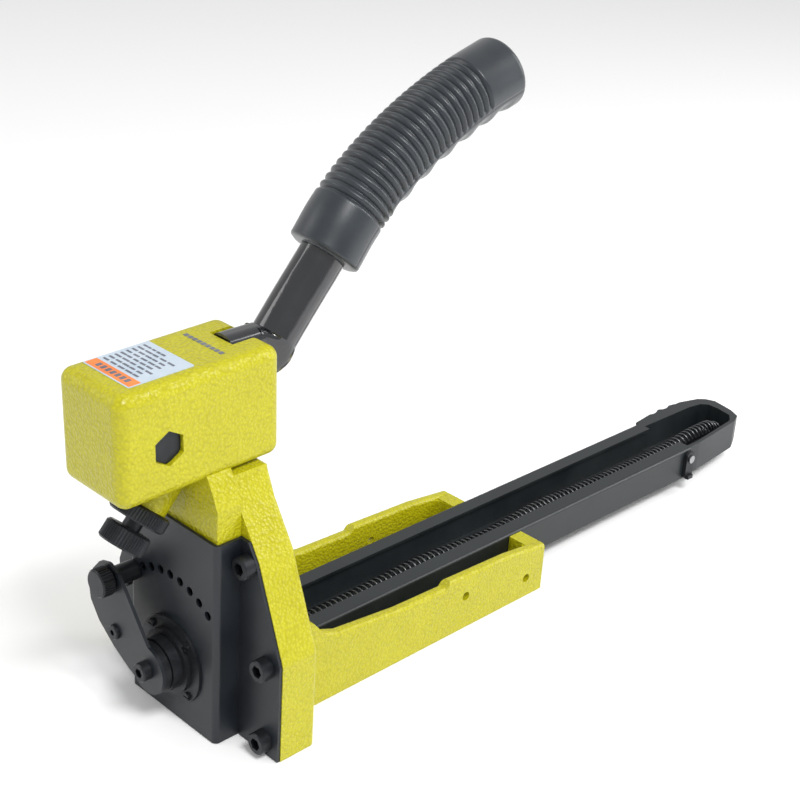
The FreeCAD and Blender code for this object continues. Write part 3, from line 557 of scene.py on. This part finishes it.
def slab(name, low, high, material, edge):
    """Thin plate on the housing top, with rounded corners."""
    box = bmesh.new()
    bmesh.ops.create_cube(box, size=1.0)
    size = Vector(high) - Vector(low)
    middle = (Vector(high) + Vector(low)) / 2
    bmesh.ops.transform(
        box, matrix=Matrix.Translation(middle) @ Matrix.Diagonal((*size, 1)), verts=box.verts
    )
    upright = [e for e in box.edges if abs(e.verts[0].co.z - e.verts[1].co.z) > 0.5 * size.z]
    bmesh.ops.bevel(
        box, geom=upright, offset=edge, segments=5, affect="EDGES", profile=0.5
    )
    vertices = [lean(v.co) for v in box.verts]
    faces = [tuple(v.index for v in f.verts) for f in box.faces]
    box.free()
    plate = mesh_object(name, vertices, faces, material, "frame")
    plate.data.polygons.foreach_set("use_smooth", [False] * len(faces))
    return plate


def build_label():
    """Label film with an orange heading and rows of generic print."""
    (x0, x1), (y0, y1), z0 = LABEL_X, LABEL_Y, CAP_TOP_Z
    z1 = z0 + LABEL_THICKNESS
    print_z = z1 - 0.06 * MM
    label = slab("label_film_sheet", (x0, y0, z0), (x1, y1, print_z),
                 LOOKS["label_film"], 0.8 * MM)
    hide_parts("label_plate")
    slab("label_heading", (x0 + 0.6 * MM, y0 + 0.7 * MM, print_z - 0.02 * MM),
         (x1 - 0.6 * MM, y0 + 6.4 * MM, z1 - 0.02 * MM), LABEL_ORANGE, 0.5 * MM)
    for k in range(7):
        x = x0 + 5.0 * MM + 3.1 * MM * k
        slab(f"label_heading_mark_{k}", (x, y0 + 2.2 * MM, print_z),
             (x + 2.1 * MM, y0 + 5.0 * MM, z1), LABEL_INK, 0.4 * MM)
    rows = 8
    pitch = (y1 - y0 - 9.5 * MM) / rows
    for row in range(rows):
        y = y0 + 8.0 * MM + pitch * row
        words = 5 + (row * 3) % 3
        reach = (0.92, 0.86, 0.95, 0.8, 0.9, 0.84, 0.93, 0.55)[row]
        width = (x1 - x0 - 4.0 * MM) * reach
        for word in range(words):
            start = x0 + 2.0 * MM + width * word / words
            end = start + width / words * (0.72 + 0.06 * ((row + word) % 4))
            slab(f"label_print_{row}_{word}", (start, y, print_z - 0.02 * MM),
                 (end, y + 1.1 * MM, z1), LABEL_INK, 0.15 * MM)


def build_cap_mark():
    """Row of generic dashes on the housing top, in front of the handle slot."""
    count = 9
    for k in range(count):
        x = -12.6 * MM + 25.2 * MM * k / count
        slab(f"cap_mark_{k}", (x, CAP_MARK_Y, CAP_TOP_Z - 0.05 * MM),
             (x + 2.2 * MM, CAP_MARK_Y + 2.2 * MM, CAP_TOP_Z + 0.1 * MM), LABEL_INK, 0.3 * MM)


# ---- stage, light and camera -------------------------------------------
def build_stage():
    mesh = bpy.data.meshes.new("floor")
    reach = 6.0
    mesh.from_pydata(
        [(-reach, -reach, 0), (reach, -reach, 0), (reach, reach, 0), (-reach, reach, 0)],
        [], [(0, 1, 2, 3)],
    )
    floor = bpy.data.objects.new("floor", mesh)
    floor.location.z = -0.4 * MM
    bpy.context.scene.collection.objects.link(floor)
    material, tree, shader = new_material("pale_floor")
    shader.inputs["Base Color"].default_value = (0.96, 0.96, 0.96, 1)
    shader.inputs["Roughness"].default_value = 0.9
    shader.inputs["Specular IOR Level"].default_value = 0.1
    mesh.materials.append(material)


def area_light(name, place, target, size, power, colour=(1, 1, 1)):
    data = bpy.data.lights.new(name, "AREA")
    data.shape = "RECTANGLE"
    data.size, data.size_y = size
    data.energy = power
    data.color = colour
    lamp = bpy.data.objects.new(name, data)
    lamp.location = place
    direction = Vector(target) - Vector(place)
    lamp.rotation_euler = direction.to_track_quat("-Z", "Y").to_euler()
    bpy.context.scene.collection.objects.link(lamp)


def build_lights():
    world = bpy.data.worlds.new("studio")
    bpy.context.scene.world = world
    world.use_nodes = True
    background = world.node_tree.nodes["Background"]
    background.inputs["Color"].default_value = (1, 1, 1, 1)
    background.inputs["Strength"].default_value = 0.66
    aim = (0, 0.1, 0.1)
    area_light("key", (0.9, -0.15, 1.3), aim, (0.6, 0.35), 17)
    area_light("fill", (-1.0, -1.1, 0.9), aim, (0.8, 0.8), 5)
    area_light("rim", (0.7, 1.3, 0.8), aim, (0.5, 1.2), 11)
    # plain colours, so that the saturated yellow isn't greyed
    bpy.context.scene.view_settings.view_transform = "Standard"


def build_camera():
    data = bpy.data.cameras.new("photo_camera")
    data.lens = CAMERA_LENS
    data.sensor_width = 36.0
    data.clip_start = 0.01
    camera = bpy.data.objects.new("photo_camera", data)
    azimuth = math.radians(CAMERA_AZIMUTH)
    elevation = math.radians(CAMERA_ELEVATION)
    roll = math.radians(CAMERA_ROLL)
    back = Vector((
        math.sin(azimuth) * math.cos(elevation),
        -math.cos(azimuth) * math.cos(elevation),
        math.sin(elevation),
    ))
    right = Vector((math.cos(azimuth), math.sin(azimuth), 0))
    up = back.cross(right)
    axis_x = right * math.cos(roll) + up * math.sin(roll)
    axis_y = up * math.cos(roll) - right * math.sin(roll)
    turn = Matrix((axis_x, axis_y, back)).transposed().to_4x4()
    camera.matrix_world = Matrix.Translation(CAMERA_PLACE) @ turn
    bpy.context.scene.collection.objects.link(camera)
    bpy.context.scene.camera = camera


dress_cad_nodes()
build_grip()
build_magazine_spring()
build_return_springs()
build_plunger_spring()
build_label()
build_cap_mark()
build_stage()
build_lights()
build_camera()
